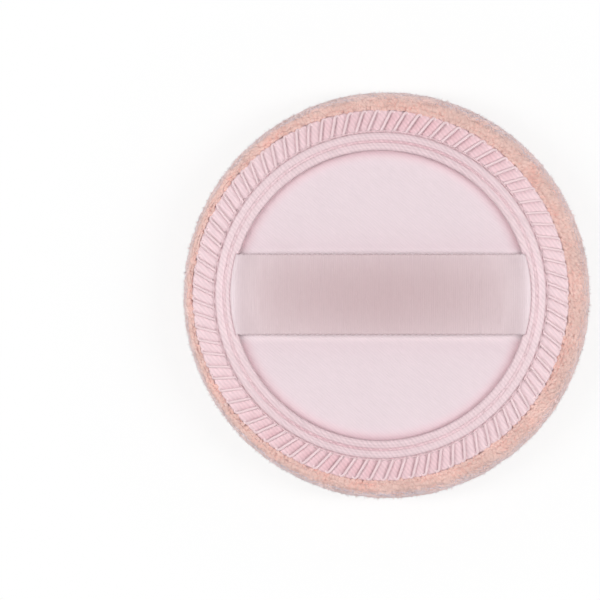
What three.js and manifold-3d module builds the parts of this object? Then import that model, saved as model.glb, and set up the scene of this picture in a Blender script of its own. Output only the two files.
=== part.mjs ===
// A round powder puff, lying on its pile face with the finger ribbon on top.
// Millimetres, +Z up, X along the ribbon. The origin is under the middle of the puff,
// on the surface that it lies on.

import * as THREE from 'three';
import { mergeVertices } from 'three/addons/utils/BufferGeometryUtils.js';
import Module from 'manifold-3d';

const wasm = await Module();
wasm.setup();

// Driving dimensions, in millimetres

// The whole puff
const puffDiameter = 80;
const faceCrown = 3.2;
const restFlatDepth = 0.5;
const shoulderWidth = 6;
const rollWidth = 4;

// The cloth layers, from the pile face up
const pileLength = 2.5;
const knitThickness = 0.6;
const foamThickness = 6.4;
const interliningThickness = 0.6;
const satinThickness = 0.35;
const ribbonThickness = 0.25;
const tapeThickness = 0.25;

// The seam ring on the back, from its outer edge inwards
const ringShiftX = -1.2;
const rimWidth = 3.55;
const stitchBandWidth = 4.1;
const cordRadius = 0.38;
const ditchWidth = 0.24;
const satinEdgeInset = 0.3;
const marginReach = 2.8;

// The threads
const looperRadius = 0.25;
const lowerLooperRadius = 0.18;
const seamThreadRadius = 0.12;

// The finger ribbon
const ribbonWidth = 16;
const ribbonRise = 5;
const ribbonCrown = 0.8;
const ribbonRampRun = 3.6;
const ribbonFootGap = 0.15;
const ribbonTailReach = 0.85;
const selvedgeWidth = 1.3;
const selvedgeRaise = 0.05;

// Clearances
const clothGap = 0.2;
const cordGap = 0.2;
const threadGap = 0.15;
const seatGap = 0.25;
const cutOverrun = 1;

// Counts
const stitchCount = 84;
const coverFacets = 60;
const foamFacets = 48;
const discFacets = 72;
const tapeFacets = 84;
const cordSides = 6;
const seamThreadSides = 5;
const looperSides = 4;
const lowerLooperSides = 3;

// Levels, worked out from the layers

const puffRadius = puffDiameter / 2;
const coverThickness = pileLength + knitThickness;
const foamBottom = coverThickness - restFlatDepth + clothGap;
const foamTop = foamBottom + foamThickness;
const interliningBottom = foamTop + clothGap;
const satinBottom = interliningBottom + interliningThickness + clothGap;
const satinTop = satinBottom + satinThickness;
const ribbonTailMiddle = satinTop + clothGap + ribbonThickness / 2;
const tapeBottom = ribbonTailMiddle + ribbonThickness / 2 + selvedgeRaise + clothGap;
const tapeTop = tapeBottom + tapeThickness;
const cordMiddle = tapeBottom + cordRadius;
const looperMiddle = tapeTop + threadGap + looperRadius;
const lowerLooperMiddle = interliningBottom - threadGap - lowerLooperRadius;
const seatFloor = lowerLooperMiddle - lowerLooperRadius - threadGap;

// Radii of the seam ring, measured from the ring's own middle

const ridgeHalfWidth = cordRadius + cordGap + tapeThickness;
const tapeOuterRadius = puffRadius - rimWidth;
const needleRadius = tapeOuterRadius - stitchBandWidth;
const outerRidgeRadius = needleRadius - seamThreadRadius - threadGap - ridgeHalfWidth;
const ditchRadius = outerRidgeRadius - ridgeHalfWidth - ditchWidth / 2;
const innerRidgeRadius = ditchRadius - ditchWidth / 2 - ridgeHalfWidth;
const tapeInnerRadius = innerRidgeRadius - ridgeHalfWidth;
const satinRadius = tapeOuterRadius - satinEdgeInset;
const marginInnerRadius = needleRadius - marginReach;

// The rounded outline of the puff, moved in by inset: the face dome from the axis out
// to the shoulder, the side out to the widest point, then the roll up to its top.

const shoulderRadius = puffRadius - shoulderWidth;
const rollRadius = puffRadius - rollWidth;
const rollTop = tapeBottom;
const equator = (faceCrown - restFlatDepth + rollTop) / 2;
const roundHandleShare = 0.5523;

function domeHeight(radius) {
  const share = radius / shoulderRadius;
  return faceCrown * share * share - restFlatDepth;
}

function dome(inset, fromRadius, steps) {
  const points = [];
  for (let i = 0; i < steps; i += 1) {
    const radius = fromRadius + (shoulderRadius - fromRadius) * (i / steps);
    points.push(new THREE.Vector2(radius, domeHeight(radius) + inset));
  }
  return points;
}

function sideAndRoll(inset, steps) {
  const rim = puffRadius - inset;
  const low = domeHeight(shoulderRadius) + inset;
  const top = rollTop - inset;
  const sideRun = (rim - shoulderRadius) * roundHandleShare;
  const sideRise = (equator - low) * roundHandleShare;
  const rollRun = (rim - rollRadius) * roundHandleShare;
  const rollRise = (top - equator) * roundHandleShare;
  const slope = 2 * faceCrown / shoulderRadius;
  const side = new THREE.CubicBezierCurve(
    new THREE.Vector2(shoulderRadius, low),
    new THREE.Vector2(shoulderRadius + sideRun, low + Math.min(sideRun * slope, sideRise)),
    new THREE.Vector2(rim, equator - sideRise),
    new THREE.Vector2(rim, equator),
  );
  const roll = new THREE.CubicBezierCurve(
    new THREE.Vector2(rim, equator),
    new THREE.Vector2(rim, equator + rollRise),
    new THREE.Vector2(rollRadius + rollRun, top),
    new THREE.Vector2(rollRadius, top),
  );
  return [...side.getPoints(steps), ...roll.getPoints(steps).slice(1)];
}

// Helpers for solids

function lathe(points, facets) {
  return new THREE.LatheGeometry(points, facets).rotateX(Math.PI / 2);
}

function disc(radius, bottom, top, facets) {
  const solid = new THREE.CylinderGeometry(radius, radius, top - bottom, facets);
  return solid.rotateX(Math.PI / 2).translate(0, 0, (bottom + top) / 2);
}

function manifoldOf(geometry) {
  const bare = geometry.clone();
  bare.deleteAttribute('normal');
  bare.deleteAttribute('uv');
  const merged = mergeVertices(bare);
  const corners = merged.index.array;
  const kept = [];
  for (let i = 0; i < corners.length; i += 3) {
    const [a, b, c] = corners.slice(i, i + 3);
    if (a !== b && b !== c && c !== a) kept.push(a, b, c);
  }
  return new wasm.Manifold(new wasm.Mesh({
    numProp: 3,
    vertProperties: new Float32Array(merged.attributes.position.array),
    triVerts: new Uint32Array(kept),
  }));
}

function cut(body, tool) {
  const result = manifoldOf(body).subtract(manifoldOf(tool)).getMesh();
  const geometry = new THREE.BufferGeometry();
  geometry.setAttribute('position', new THREE.BufferAttribute(result.vertProperties, 3));
  geometry.setIndex(new THREE.BufferAttribute(result.triVerts, 1));
  geometry.computeVertexNormals();
  return geometry;
}

// Carries a closed section along a path. Each path place has an origin and the two
// directions, across and up, in which the section is drawn.

function sweep(places, section, closed) {
  const positions = [];
  for (const place of places) {
    for (const point of section) {
      const corner = place.origin.clone();
      corner.addScaledVector(place.across, point.x).addScaledVector(place.up, point.y);
      positions.push(corner.x, corner.y, corner.z);
    }
  }
  const sides = section.length;
  const index = [];
  const spans = closed ? places.length : places.length - 1;
  for (let i = 0; i < spans; i += 1) {
    const here = i * sides;
    const next = ((i + 1) % places.length) * sides;
    for (let j = 0; j < sides; j += 1) {
      const k = (j + 1) % sides;
      index.push(here + j, here + k, next + k, here + j, next + k, next + j);
    }
  }
  if (!closed) {
    const last = (places.length - 1) * sides;
    for (const [a, b, c] of THREE.ShapeUtils.triangulateShape(section, [])) {
      index.push(c, b, a, last + a, last + b, last + c);
    }
  }
  const geometry = new THREE.BufferGeometry();
  geometry.setAttribute('position', new THREE.Float32BufferAttribute(positions, 3));
  geometry.setIndex(index);
  geometry.computeVertexNormals();
  return geometry;
}

function roundSection(radius, sides) {
  return new THREE.Path().absarc(0, 0, radius, 0, 2 * Math.PI).getSpacedPoints(sides).slice(1);
}

// The cover: pile and knit in one thickness round the foam, turned in over the back.
// Its face is cut flat where the pile tips press on the surface, and the turned-in
// margin is sunk under the seam ring.

function velourCover() {
  const flatRadius = shoulderRadius * Math.sqrt(restFlatDepth / faceCrown);
  const outside = [
    new THREE.Vector2(0, 0),
    ...dome(0, flatRadius, 3),
    ...sideAndRoll(0, 4),
  ];
  const inside = [
    new THREE.Vector2(marginInnerRadius, rollTop),
    new THREE.Vector2(marginInnerRadius, rollTop - coverThickness),
    ...sideAndRoll(coverThickness, 2).reverse(),
    ...dome(coverThickness, 0, 2).reverse(),
  ];
  const shell = lathe([...outside, ...inside], coverFacets);
  const seat = disc(tapeOuterRadius + seatGap, seatFloor, rollTop + cutOverrun, discFacets);
  return cut(shell, seat.translate(ringShiftX, 0, 0));
}

// The foam fills the cover and is pressed thinner under the turned-in margin.

function foamPad() {
  const inset = coverThickness + clothGap;
  const stepRadius = marginInnerRadius - clothGap;
  return lathe([
    ...dome(inset, 0, 2),
    ...sideAndRoll(inset, 2),
    new THREE.Vector2(stepRadius, rollTop - inset),
    new THREE.Vector2(stepRadius, foamTop),
    new THREE.Vector2(0, foamTop),
  ], foamFacets);
}

function interliningDisc() {
  return disc(satinRadius, interliningBottom, interliningBottom + interliningThickness, discFacets);
}

function satinBack() {
  return disc(satinRadius, satinBottom, satinTop, discFacets);
}

// The tape: a flat margin under the overlock stitches, then two arches, each over a
// cord. The channels are open underneath along their whole length.

function archPoints(ridgeRadius, radius, floor, steps) {
  const foot = Math.asin((floor - cordMiddle) / radius);
  const points = [];
  for (let i = 0; i <= steps; i += 1) {
    const angle = foot + (Math.PI - 2 * foot) * (i / steps);
    points.push(new THREE.Vector2(
      ridgeRadius + radius * Math.cos(angle),
      cordMiddle + radius * Math.sin(angle),
    ));
  }
  return points;
}

function bindingTape() {
  const channelRadius = cordRadius + cordGap;
  const outside = [
    new THREE.Vector2(tapeOuterRadius, tapeBottom),
    new THREE.Vector2(tapeOuterRadius, tapeTop),
    ...archPoints(outerRidgeRadius, ridgeHalfWidth, tapeTop, 4),
    ...archPoints(innerRidgeRadius, ridgeHalfWidth, tapeTop, 4),
    new THREE.Vector2(tapeInnerRadius, tapeBottom),
  ];
  const underside = [
    ...archPoints(innerRidgeRadius, channelRadius, tapeBottom, 4).reverse(),
    ...archPoints(outerRidgeRadius, channelRadius, tapeBottom, 4).reverse(),
  ];
  return lathe([...outside, ...underside, outside[0].clone()], tapeFacets);
}

function pipingCord(ridgeRadius) {
  const ring = new THREE.TorusGeometry(ridgeRadius, cordRadius, cordSides, discFacets);
  return ring.translate(0, 0, cordMiddle);
}

// The overlock threads: one closed zigzag each, going out slanted and back straight.
// A place in the zigzag is a share of one stitch along the ring, clockwise, and a share
// of the way from the needle line out to the edge.

const looperPathShares = [
  [0.05, 0],
  [0.72, 1],
  [0.9, 1],
  [0.87, 0],
];

function zigzagThread(radius, height, sides) {
  const innerEnd = needleRadius + seamThreadRadius + threadGap + radius;
  const outerEnd = tapeOuterRadius - radius;
  const centres = [];
  for (let stitch = 0; stitch < stitchCount; stitch += 1) {
    for (const [alongShare, outShare] of looperPathShares) {
      const angle = -2 * Math.PI * (stitch + alongShare) / stitchCount;
      const reach = innerEnd + (outerEnd - innerEnd) * outShare;
      centres.push(new THREE.Vector3(reach * Math.cos(angle), reach * Math.sin(angle), height));
    }
  }
  const up = new THREE.Vector3(0, 0, 1);
  const places = centres.map((origin, i) => {
    const before = centres[(i + centres.length - 1) % centres.length];
    const after = centres[(i + 1) % centres.length];
    const into = origin.clone().sub(before).normalize();
    const onward = after.clone().sub(origin).normalize();
    const across = up.clone().cross(into.add(onward)).normalize();
    return { origin, across, up };
  });
  return sweep(places, roundSection(radius, sides), true);
}

function overlockThread() {
  return zigzagThread(looperRadius, looperMiddle, looperSides);
}

function lowerLooperThread() {
  return zigzagThread(lowerLooperRadius, lowerLooperMiddle, lowerLooperSides);
}

// The needle thread lies at the foot of the outer ridge, the ditch thread as deep
// between the two ridges as their flanks let it.

function seamThread(ringRadius, height) {
  const ring = new THREE.TorusGeometry(ringRadius, seamThreadRadius, seamThreadSides, tapeFacets);
  return ring.translate(0, 0, height);
}

function ditchThreadHeight() {
  const reach = ridgeHalfWidth + threadGap + seamThreadRadius;
  const aside = ridgeHalfWidth + ditchWidth / 2;
  const rise = Math.sqrt(Math.max(reach * reach - aside * aside, 0));
  return Math.max(cordMiddle + rise, tapeTop + threadGap + seamThreadRadius);
}

// The finger ribbon: a flat tail under the ring at each end, a steep ramp, and a
// nearly level middle that leaves room for the fingers. Both selvedges are a little
// thicker than the web.

const rampFootShare = 0.5;
const rampHeadShare = 0.45;

function ribbonHalfLine() {
  const footX = Math.sqrt(tapeInnerRadius ** 2 - (ribbonWidth / 2) ** 2) - ribbonFootGap;
  const headX = footX - ribbonRampRun;
  const headZ = ribbonTailMiddle + ribbonRise;
  const ramp = new THREE.CubicBezierCurve(
    new THREE.Vector2(footX, ribbonTailMiddle),
    new THREE.Vector2(footX - ribbonRampRun * rampFootShare, ribbonTailMiddle),
    new THREE.Vector2(headX + ribbonRampRun * rampHeadShare, headZ - ribbonCrown * rampHeadShare),
    new THREE.Vector2(headX, headZ),
  );
  const top = new THREE.QuadraticBezierCurve(
    new THREE.Vector2(headX, headZ),
    new THREE.Vector2(headX / 2, headZ + ribbonCrown),
    new THREE.Vector2(0, headZ + ribbonCrown),
  );
  return [
    new THREE.Vector2(needleRadius + ribbonTailReach, ribbonTailMiddle),
    ...ramp.getPoints(8),
    ...top.getPoints(5).slice(1),
  ];
}

function fingerRibbon() {
  const half = ribbonHalfLine();
  const mirrored = half.slice(0, -1).map((point) => new THREE.Vector2(-point.x, point.y));
  const line = [...mirrored, ...half.slice().reverse()];
  const across = new THREE.Vector3(0, 1, 0);
  const places = line.map((point, i) => {
    const before = line[Math.max(i - 1, 0)];
    const after = line[Math.min(i + 1, line.length - 1)];
    const along = new THREE.Vector3(after.x - before.x, 0, after.y - before.y).normalize();
    const up = along.clone().cross(across);
    return { origin: new THREE.Vector3(point.x, 0, point.y), across, up };
  });
  const edge = ribbonWidth / 2;
  const web = edge - selvedgeWidth;
  const thin = ribbonThickness / 2;
  const thick = thin + selvedgeRaise;
  const section = [
    new THREE.Vector2(edge, -thick),
    new THREE.Vector2(edge, thick),
    new THREE.Vector2(web, thin),
    new THREE.Vector2(-web, thin),
    new THREE.Vector2(-edge, thick),
    new THREE.Vector2(-edge, -thick),
    new THREE.Vector2(-web, -thin),
    new THREE.Vector2(web, -thin),
  ];
  return sweep(places, section, false);
}

// Materials and the assembly

function cloth(color, roughness) {
  return new THREE.MeshStandardMaterial({ color, roughness, metalness: 0 });
}

function piece(name, geometry, material) {
  const mesh = new THREE.Mesh(geometry, material);
  mesh.name = name;
  return mesh;
}

const velour = cloth(0xf0c5b6, 0.95);
const foam = cloth(0xf6efe4, 0.9);
const interlining = cloth(0xf3f1ee, 0.9);
const satin = cloth(0xead8de, 0.45);
const tapeSatin = cloth(0xe6c9cd, 0.5);
const cotton = cloth(0xefe7e0, 0.9);
const thread = cloth(0xefd3d8, 0.6);
const ribbonSatin = cloth(0xd6bfc3, 0.45);

// What is sewn to the back shares the middle of the seam ring.
const back = new THREE.Group();
back.position.x = ringShiftX;
back.add(
  piece('interlining_disc', interliningDisc(), interlining),
  piece('satin_back', satinBack(), satin),
  piece('binding_tape', bindingTape(), tapeSatin),
  piece('outer_piping_cord', pipingCord(outerRidgeRadius), cotton),
  piece('inner_piping_cord', pipingCord(innerRidgeRadius), cotton),
  piece('overlock_thread', overlockThread(), thread),
  piece('lower_looper_thread', lowerLooperThread(), thread),
  piece('needle_thread', seamThread(needleRadius, tapeTop + threadGap + seamThreadRadius), thread),
  piece('ditch_thread', seamThread(ditchRadius, ditchThreadHeight()), thread),
  piece('finger_ribbon', fingerRibbon(), ribbonSatin),
);

const puff = new THREE.Group();
puff.add(
  piece('velour_cover', velourCover(), velour),
  piece('foam_pad', foamPad(), foam),
  back,
);

export default puff;
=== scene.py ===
# %% [markdown]
# # Dressing a powder puff
#
# A powder puff is a round pad that lifts loose powder and presses it on the skin. Its
# face is a short velour pile round a thin foam. Its back is a satin disc, and both are
# sewn together under a corded ring of satin tape. A ribbon across the back holds the
# fingers. The construction is ready as a frame of simple solids, so this lesson makes
# only the cloth that one sees: each piece is a surface worked out with numpy, laid
# exactly where its solid lies.

# %% Load the frame
import math

import bpy
import numpy as np
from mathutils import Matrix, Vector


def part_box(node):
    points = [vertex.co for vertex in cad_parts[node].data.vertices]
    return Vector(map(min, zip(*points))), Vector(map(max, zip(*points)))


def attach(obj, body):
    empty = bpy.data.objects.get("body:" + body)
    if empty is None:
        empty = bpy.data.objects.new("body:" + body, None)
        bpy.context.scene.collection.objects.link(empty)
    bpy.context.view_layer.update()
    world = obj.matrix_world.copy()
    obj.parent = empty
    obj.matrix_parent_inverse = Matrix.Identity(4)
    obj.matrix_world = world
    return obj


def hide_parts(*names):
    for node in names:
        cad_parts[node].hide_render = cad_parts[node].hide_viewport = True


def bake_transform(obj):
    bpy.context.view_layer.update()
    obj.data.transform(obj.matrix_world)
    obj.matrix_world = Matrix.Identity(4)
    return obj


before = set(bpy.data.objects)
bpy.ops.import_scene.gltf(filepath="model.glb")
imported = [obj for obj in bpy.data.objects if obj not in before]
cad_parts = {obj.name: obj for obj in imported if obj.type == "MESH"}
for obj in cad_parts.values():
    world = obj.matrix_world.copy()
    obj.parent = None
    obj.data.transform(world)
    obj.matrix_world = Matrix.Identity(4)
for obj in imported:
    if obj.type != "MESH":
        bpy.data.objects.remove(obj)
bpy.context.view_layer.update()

# %% [markdown]
# ## Sizes
#
# Blender counts in metres and a sewer in millimetres, so every size here is a number of
# millimetres times `mm`. Radii and levels are read off the frame's solids, which keeps
# the cloth on its construction. Only what the solids leave out, such as the thickness of
# a thread or the height of the pile, gets a value of its own.

# %% Where the pieces lie
mm = 0.001


def half_width(node):
    """Half of a node's extent along X."""
    low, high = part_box(node)
    return (high.x - low.x) / 2


def levels(node):
    """The lowest and the highest level of a node."""
    low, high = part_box(node)
    return low.z, high.z


def places_of(mesh):
    """The points of a mesh, one row each."""
    flat = np.zeros(len(mesh.vertices) * 3, np.float32)
    mesh.vertices.foreach_get("co", flat)
    return flat.reshape(-1, 3)


puff_radius = half_width("velour_cover")
ring_x = (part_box("binding_tape")[0].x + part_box("binding_tape")[1].x) / 2
tape_radius = half_width("binding_tape")
satin_radius = half_width("satin_back")
tape_bottom, ridge_top = levels("binding_tape")
satin_bottom, satin_top = levels("satin_back")
lining_bottom, lining_top = levels("interlining_disc")
foam_top = levels("foam_pad")[1]

seam_yarn = 0.12 * mm
looper_yarn = 0.25 * mm
lower_yarn = 0.18 * mm
cord_radius = 0.38 * mm
tape_cloth = 0.25 * mm
ribbon_cloth = 0.25 * mm
knit_cloth = 0.55 * mm
layer_gap = 0.15 * mm
foam_gap = 0.2 * mm

ring_oval = 1.015
needle_radius = half_width("needle_thread") - seam_yarn
ditch_radius = half_width("ditch_thread") - seam_yarn
outer_ridge = half_width("outer_piping_cord") - cord_radius
inner_ridge = half_width("inner_piping_cord") - cord_radius
ridge_half = ridge_top - (tape_bottom + cord_radius)
tape_inner = inner_ridge - ridge_half
seat_floor = levels("lower_looper_thread")[0] - layer_gap
rest_depth = 0.5 * mm

cover_corners = places_of(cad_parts["velour_cover"].data).astype(float)
from_middle = np.hypot(cover_corners[:, 0], cover_corners[:, 1])
equator = float(cover_corners[from_middle.argmax(), 2])
margin_inner = float(from_middle[cover_corners[:, 2] > seat_floor].min())
print(f"puff radius {puff_radius / mm:.2f}, widest at {equator / mm:.2f}, ring at x {ring_x / mm:.2f}")

# %% [markdown]
# ## Grids into meshes
#
# Every surface below is a grid of points: rows along a profile, columns round the puff.
# A small helper turns such a grid into faces. The columns always close on themselves.
# The rows either close too, as on the tape, or end in a single point on the axis, as on
# a disc. Rows run so that the faces look outwards: out along an underside, up, and in
# along a top.

# %% From points to pieces
def ring_quads(rows, around, closed=False):
    """The four corners of each face of a rows x around grid that closes sideways."""
    row = np.arange(rows if closed else rows - 1)[:, None]
    column = np.arange(around)[None, :]
    after_row, after_column = (row + 1) % rows, (column + 1) % around
    corners = [
        row * around + column,
        row * around + after_column,
        after_row * around + after_column,
        after_row * around + column,
    ]
    return np.stack(np.broadcast_arrays(*corners), -1).reshape(-1, 4)


def pole_fans(rows, around):
    """Triangles from the first and the last row to the two pole points after the grid."""
    here = np.arange(around)
    after = (here + 1) % around
    first, last = rows * around, rows * around + 1
    top = (rows - 1) * around
    start = np.stack([np.full(around, first), after, here], -1)
    end = np.stack([top + here, top + after, np.full(around, last)], -1)
    return np.concatenate([start, end])


def mesh_of(name, points, quads, triangles=None):
    """A smooth mesh object with those points and faces, its origin at the scene's."""
    quads = np.asarray(quads, np.int32).reshape(-1, 4)
    triangles = np.asarray([] if triangles is None else triangles, np.int32).reshape(-1, 3)
    mesh = bpy.data.meshes.new(name)
    mesh.vertices.add(len(points))
    mesh.vertices.foreach_set("co", np.asarray(points, np.float32).ravel())
    loops = np.concatenate([quads.ravel(), triangles.ravel()])
    mesh.loops.add(len(loops))
    mesh.loops.foreach_set("vertex_index", loops)
    starts = np.concatenate([
        np.arange(len(quads)) * 4,
        len(quads) * 4 + np.arange(len(triangles)) * 3,
    ]).astype(np.int32)
    mesh.polygons.add(len(starts))
    mesh.polygons.foreach_set("loop_start", starts)
    mesh.polygons.foreach_set("use_smooth", np.ones(len(starts), bool))
    mesh.update(calc_edges=True)
    mesh.validate()
    piece = bpy.data.objects.new(name, mesh)
    bpy.context.scene.collection.objects.link(piece)
    return piece


def closed_surface(name, grid, poles):
    """A grid that closes sideways, its first and last row drawn to two points on the axis."""
    rows, around = grid.shape[:2]
    points = np.concatenate([grid.reshape(-1, 3), poles])
    return mesh_of(name, points, ring_quads(rows, around), pole_fans(rows, around))


def store(piece, name, values):
    """Keeps one number for each point, for the materials to read."""
    attribute = piece.data.attributes.new(name, "FLOAT", "POINT")
    attribute.data.foreach_set("value", np.asarray(values, np.float32).ravel())


def dress(piece, material, body="puff_body", stands_for=()):
    """Gives a finished piece its material and its body, and hides the CAD nodes it stands for."""
    piece.data.materials.append(material)
    if body:
        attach(piece, body)
    if stands_for:
        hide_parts(*stands_for)
    count = sum(len(face.vertices) - 2 for face in piece.data.polygons)
    print(f"{piece.name}: {count} triangles")
    return piece


# %% [markdown]
# ## Camera
#
# The puff lies on a table and is seen from straight above, through a long lens. The
# frame is 600 units wide. The puff's outline is a circle, so its middle and its radius in
# the frame settle the scale, and the lens shift puts it off centre as it should be.

# %% The camera
frame_width = 600
circle_x, circle_y, circle_radius = 386.75, 295.4, 203.1
lens, sensor = 600, 36

view_width = frame_width * puff_radius / circle_radius
camera_data = bpy.data.cameras.new("camera")
camera_data.lens = lens
camera_data.sensor_width = sensor
camera_data.shift_x = (frame_width / 2 - circle_x) / frame_width
camera_data.shift_y = (circle_y - frame_width / 2) / frame_width
camera = bpy.data.objects.new("camera", camera_data)
camera.location = (0, 0, equator + view_width * lens / sensor)
bpy.context.scene.collection.objects.link(camera)
bpy.context.scene.camera = camera
bpy.context.scene.view_settings.view_transform = "Standard"
print(f"the frame shows {view_width / mm:.1f} mm")

# %% [markdown]
# ## Light, floor and background
#
# Two softboxes stand left and right of the table, a broad lamp hangs above it, and a
# pale room fills the shadows. The side lamps give slopes that face them a sheen, and the
# upper one hides most shadows under what casts them. Their strengths add up so that a
# level surface renders as its colour is written. The floor is white to the camera, and
# keeps a soft share of the shadow round the puff.

# %% Light and floor
room_strength = 0.32
softbox_power = 2.49
softbox_distance = 0.8
softbox_height_angle = math.radians(50)
softbox_size = (0.5, 0.14)
ceiling_power = 0.95
ceiling_height = 1.1
ceiling_size = 0.6


def feed(tree, socket, value):
    """Links a socket to another node's output, or sets it to a constant."""
    if isinstance(value, bpy.types.NodeSocket):
        tree.links.new(value, socket)
    else:
        socket.default_value = value


def node(tree, kind, settings=None, **inputs):
    """Adds a shader node with its settings. Its inputs go by name, or by number as i0, i1."""
    made = tree.nodes.new(kind)
    for key, value in (settings or {}).items():
        setattr(made, key, value)
    for key, value in inputs.items():
        numbered = key[0] == "i" and key[1:].isdigit()
        feed(tree, made.inputs[int(key[1:]) if numbered else key], value)
    return made


def arithmetic(tree, operation, first, second=0.0, third=0.0):
    """One Math node's result."""
    made = node(tree, "ShaderNodeMath", {"operation": operation}, i0=first, i1=second, i2=third)
    return made.outputs[0]


def area_lamp(name, power, size, place, turn=0.0):
    """A rectangular lamp that looks down, tilted by turn round the Y axis."""
    lamp = bpy.data.lights.new(name, "AREA")
    lamp.shape = "RECTANGLE"
    lamp.size, lamp.size_y = size
    lamp.energy = power
    holder = bpy.data.objects.new(name, lamp)
    holder.location = place
    holder.rotation_euler = (0, turn, 0)
    bpy.context.scene.collection.objects.link(holder)
    return holder


reach = softbox_distance * math.cos(softbox_height_angle)
rise = softbox_distance * math.sin(softbox_height_angle)
tilt = math.pi / 2 - softbox_height_angle
for name, side in (("softbox_left", -1), ("softbox_right", 1)):
    area_lamp(name, softbox_power, softbox_size, (side * reach, 0, rise), side * tilt)
ceiling = area_lamp("ceiling", ceiling_power, (ceiling_size, ceiling_size), (0, 0, ceiling_height))
ceiling.visible_glossy = False

world = bpy.data.worlds.new("pale_room")
world.use_nodes = True
bpy.context.scene.world = world
tree = world.node_tree
path = node(tree, "ShaderNodeLightPath")
seen = arithmetic(tree, "MAXIMUM", path.outputs["Is Camera Ray"], path.outputs["Is Glossy Ray"])
seen = arithmetic(tree, "MAXIMUM", seen, path.outputs["Is Transmission Ray"])
strength = node(tree, "ShaderNodeMapRange", Value=seen, **{"To Min": room_strength, "To Max": 1.0})
background = tree.nodes["Background"]
background.inputs["Color"].default_value = (1, 1, 1, 1)
tree.links.new(strength.outputs[0], background.inputs["Strength"])

floor_radius = 3.0
floor_drop = 0.05 * mm
shadow_share = 0.2
shadow_reach = (40 * mm, 75 * mm)
floor_corners = 64
here = np.arange(floor_corners)
turns = here * 2 * np.pi / floor_corners
rim = np.stack([floor_radius * np.cos(turns), floor_radius * np.sin(turns), 0 * turns - floor_drop], -1)
fan = np.stack([here, (here + 1) % floor_corners, np.full(floor_corners, floor_corners)], -1)
floor = mesh_of("floor", np.concatenate([rim, [[0, 0, -floor_drop]]]), [], fan)
paper = bpy.data.materials.new("white_paper")
paper.use_nodes = True
tree = paper.node_tree
tree.nodes.clear()
path = node(tree, "ShaderNodeLightPath")
place = node(tree, "ShaderNodeTexCoord").outputs["Object"]
from_axis = node(tree, "ShaderNodeVectorMath", {"operation": "LENGTH"}, i0=place).outputs["Value"]
lit_share = node(
    tree, "ShaderNodeMapRange", {"interpolation_type": "SMOOTHSTEP"}, Value=from_axis,
    **{"From Min": shadow_reach[0], "From Max": shadow_reach[1]},
    **{"To Min": 1 - shadow_share, "To Max": 1.0},
)
share = arithmetic(tree, "MULTIPLY", path.outputs["Is Camera Ray"], lit_share.outputs[0])
matte = node(tree, "ShaderNodeBsdfDiffuse", Color=(0.99, 0.99, 0.99, 1))
glow = node(tree, "ShaderNodeEmission", Strength=1.0)
mixed = node(tree, "ShaderNodeMixShader", i0=share, i1=matte.outputs[0], i2=glow.outputs[0])
node(tree, "ShaderNodeOutputMaterial", Surface=mixed.outputs[0])
floor.data.materials.append(paper)

# %% [markdown]
# ## Effects that several cloths share
#
# Cloth is never one even colour. Three small effects do most of the work, and each is a
# node group, built once and placed in many materials. *Mottle* lets a colour drift
# softly, as dye does. *Weave* draws fine slanting floats, the threads that make satin
# shine. *Twist* winds lines round a yarn from two attributes that its mesh carries.

# %% Node groups
def new_group(name, inputs, outputs):
    """An empty node group with those named sockets. Returns its tree, input and output."""
    group = bpy.data.node_groups.new(name, "ShaderNodeTree")
    kinds = {"color": "NodeSocketColor", "vector": "NodeSocketVector", "float": "NodeSocketFloat"}
    for label, kind in inputs:
        group.interface.new_socket(name=label, in_out="INPUT", socket_type=kinds[kind])
    for label, kind in outputs:
        group.interface.new_socket(name=label, in_out="OUTPUT", socket_type=kinds[kind])
    return group, group.nodes.new("NodeGroupInput"), group.nodes.new("NodeGroupOutput")


def scaled_colour(tree, colour, gain):
    """A colour times a number."""
    return node(tree, "ShaderNodeVectorMath", {"operation": "SCALE"}, i0=colour, Scale=gain).outputs[0]


def mottle_group(fine_ratio=7.3):
    """Color times 1 + Amount x (two noises - their middle), one coarse and one fine."""
    group, start, end = new_group(
        "Mottle",
        [("Color", "color"), ("Vector", "vector"), ("Scale", "float"), ("Amount", "float")],
        [("Color", "color"), ("Value", "float")],
    )
    scale = start.outputs["Scale"]
    fine_scale = arithmetic(group, "MULTIPLY", scale, fine_ratio)
    place = start.outputs["Vector"]
    coarse = node(group, "ShaderNodeTexNoise", Vector=place, Scale=scale, Detail=3.0)
    fine = node(group, "ShaderNodeTexNoise", Vector=place, Scale=fine_scale, Detail=2.0)
    total = arithmetic(group, "ADD", coarse.outputs["Fac"], fine.outputs["Fac"])
    drift = arithmetic(group, "SUBTRACT", total, 1.0)
    change = arithmetic(group, "MULTIPLY", drift, start.outputs["Amount"])
    gain = arithmetic(group, "ADD", change, 1.0)
    group.links.new(scaled_colour(group, start.outputs["Color"], gain), end.inputs["Color"])
    group.links.new(drift, end.inputs["Value"])
    return group


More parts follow.
